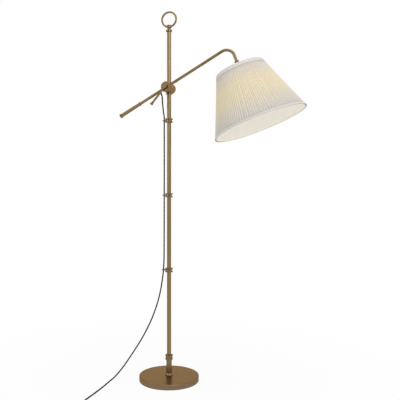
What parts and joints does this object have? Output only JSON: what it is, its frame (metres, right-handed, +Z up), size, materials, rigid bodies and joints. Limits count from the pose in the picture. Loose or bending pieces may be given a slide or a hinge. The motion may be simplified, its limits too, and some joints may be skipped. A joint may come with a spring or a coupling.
{
  "type": "bridge floor lamp",
  "caption": "Bridge floor lamp: round weighted base, jointed upright with a top ring, sliding tilting arm with counterweight, pleated shade and twisted cord.",
  "frame": {"origin": "middle of the base's underside, on the upright's axis", "axes": "+Z up the upright; +X along the arm to the shade; -Y towards the front, where the locking lever is"},
  "size_m": [0.8265, 0.6588, 1.574],
  "materials": {
    "brushed_brass": "brushed antique brass under clear lacquer",
    "clip_brass": "plain spring brass",
    "inner_brass": "plain machined brass",
    "cast_iron": "bare casting",
    "zinc_steel": "zinc plated",
    "felt": "pressed felt",
    "fibre_washer": "vulcanised fibre",
    "black_rubber": "satin moulding",
    "twisted_cord": "twisted pair, black with a pale tracer",
    "pin_brass": "plain brass blades",
    "phenolic": "black phenolic",
    "shade_fabric": "fine cream pleated fabric",
    "trim_fabric": "folded cream fabric band",
    "shade_lining": "off-white styrene",
    "frame_wire": "off-white coated wire",
    "bulb_glass": "frosted"
  },
  "bodies": {
    "root": {"base_cover": "brushed_brass", "base_nut": "zinc_steel", "base_pad": "felt", "base_washer": "zinc_steel", "base_weight": "cast_iron", "centre_rod": "zinc_steel", "cord_clip_1": "clip_brass", "cord_clip_2": "clip_brass", "cord_clip_3": "clip_brass", "cord_coil": "twisted_cord", "cord_lower": "twisted_cord", "cord_tie": "black_rubber", "cord_upper": "twisted_cord", "coupling_1": "brushed_brass", "coupling_2": "brushed_brass", "coupling_3": "brushed_brass", "coupling_nipples": "inner_brass", "finial_ring": "brushed_brass", "finial_seat": "brushed_brass", "lower_collar": "brushed_brass", "lower_sleeve": "brushed_brass", "plug_body": "black_rubber", "plug_pins": "pin_brass", "pole_plug": "inner_brass", "pole_tube_1": "brushed_brass", "pole_tube_2": "brushed_brass", "pole_tube_3": "brushed_brass", "pole_tube_4": "brushed_brass", "stem_foot": "brushed_brass"},
    "slider": {"slide_bush": "brushed_brass"},
    "knuckle": {"pole_clamp": "brushed_brass", "pole_lock_screw": "zinc_steel", "pivot_stud": "zinc_steel", "friction_washer": "fibre_washer"},
    "arm": {"arm_clamp": "brushed_brass", "arm_tube": "brushed_brass", "cord_grommet": "black_rubber", "counterweight": "brushed_brass", "counterweight_collar": "brushed_brass", "counterweight_cap": "brushed_brass", "head_nipple": "inner_brass", "head_collar": "brushed_brass", "socket_cap": "brushed_brass", "socket_body": "phenolic", "screw_shell": "inner_brass", "centre_contact": "inner_brass", "shade_ring": "brushed_brass", "shade_spider": "frame_wire", "shade_bottom_wire": "frame_wire", "shade_ribs": "frame_wire", "shade_cover": "shade_fabric", "shade_lining": "shade_lining", "top_trim": "trim_fabric", "bottom_trim": "trim_fabric", "bulb_base": "inner_brass", "bulb_glass": "bulb_glass"},
    "lever": {"lock_lever": "brushed_brass"},
    "knob": {"switch_knob": "brushed_brass"}
  },
  "joints": [
    {"name": "height_slide", "type": "slide", "parent": "root", "child": "slider", "axis": [0, 0, 1], "range_m": [-0.02, 0.15], "deforming": ["cord_upper"]},
    {"name": "arm_swivel", "type": "hinge", "parent": "slider", "child": "knuckle", "pos_m": [0, 0, 1.2449], "axis": [0, 0, 1], "range_deg": [-90, 90]},
    {"name": "arm_tilt", "type": "hinge", "parent": "knuckle", "child": "arm", "pos_m": [0, -0.0335, 1.2449], "axis": [0, -1, 0], "range_deg": [-30, 30]},
    {"name": "lever_turn", "type": "hinge", "parent": "arm", "child": "lever", "pos_m": [0, -0.0463, 1.2449], "axis": [0, -1, 0], "range_deg": [-60, 60]},
    {"name": "switch_turn", "type": "hinge", "parent": "arm", "child": "knob", "pos_m": [0.30199, -0.0335, 1.32644], "axis": [-0.9348, 0, -0.3551], "continuous": true}
  ]
}
